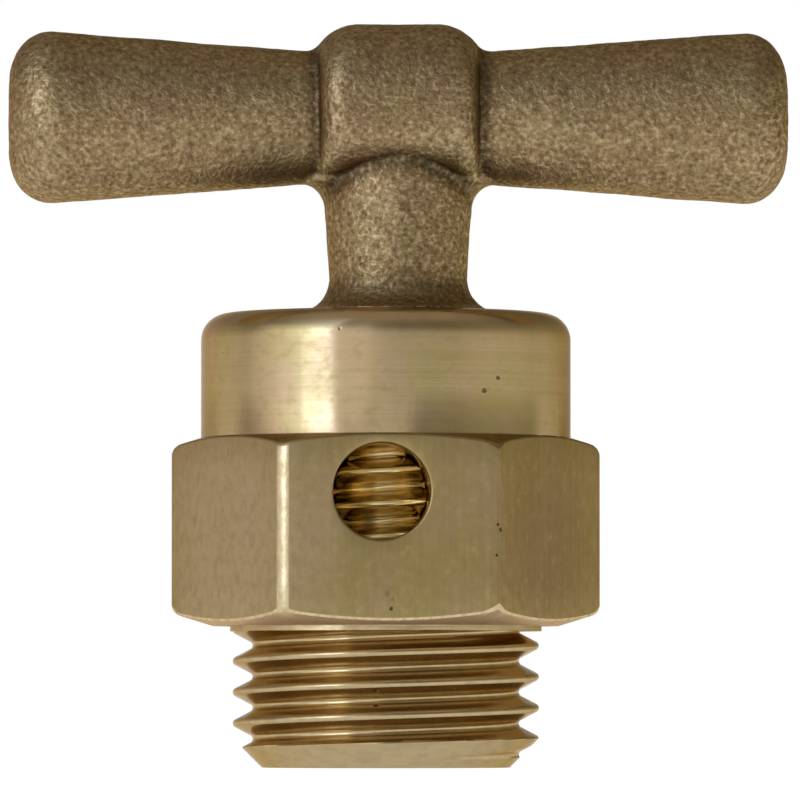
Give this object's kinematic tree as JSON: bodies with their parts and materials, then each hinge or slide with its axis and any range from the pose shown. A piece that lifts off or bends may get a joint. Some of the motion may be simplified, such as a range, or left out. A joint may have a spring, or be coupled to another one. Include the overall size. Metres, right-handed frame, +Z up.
{
  "type": "drain valve",
  "caption": "Brass drain valve with a cast tee handle on a screwed stem, a hexagon with a side outlet, and a male pipe-threaded spigot.",
  "frame": {"origin": "on the valve's axis, in the plane of the threaded spigot's end", "axes": "+Z up the stem towards the handle, X along the handle's arms, the side outlet opens towards -Y"},
  "size_m": [0.0335, 0.016, 0.0319],
  "materials": {
    "turned_brass": "bright turned and drawn brass, slightly tarnished",
    "cast_brass": "rough sand-cast brass, brown with age",
    "nitrile": "matt black rubber"
  },
  "bodies": {
    "body": {"valve_body": "turned_brass"},
    "seal": {"seat_seal": "nitrile"},
    "handle": {"tee_handle": "cast_brass"}
  },
  "joints": [
    {"name": "stem_lift", "type": "slide", "parent": "body", "child": "seal", "axis": [0, 0, 1], "range_m": [0, 0.00564]},
    {"name": "handle_turn", "type": "hinge", "parent": "seal", "child": "handle", "pos_m": [0, 0, 0.02], "axis": [0, 0, 1], "range_deg": [0, 1440]}
  ],
  "couplings": [
    {"joint": "stem_lift", "follows": "handle_turn", "m_per_rad": 0.00022457}
  ]
}
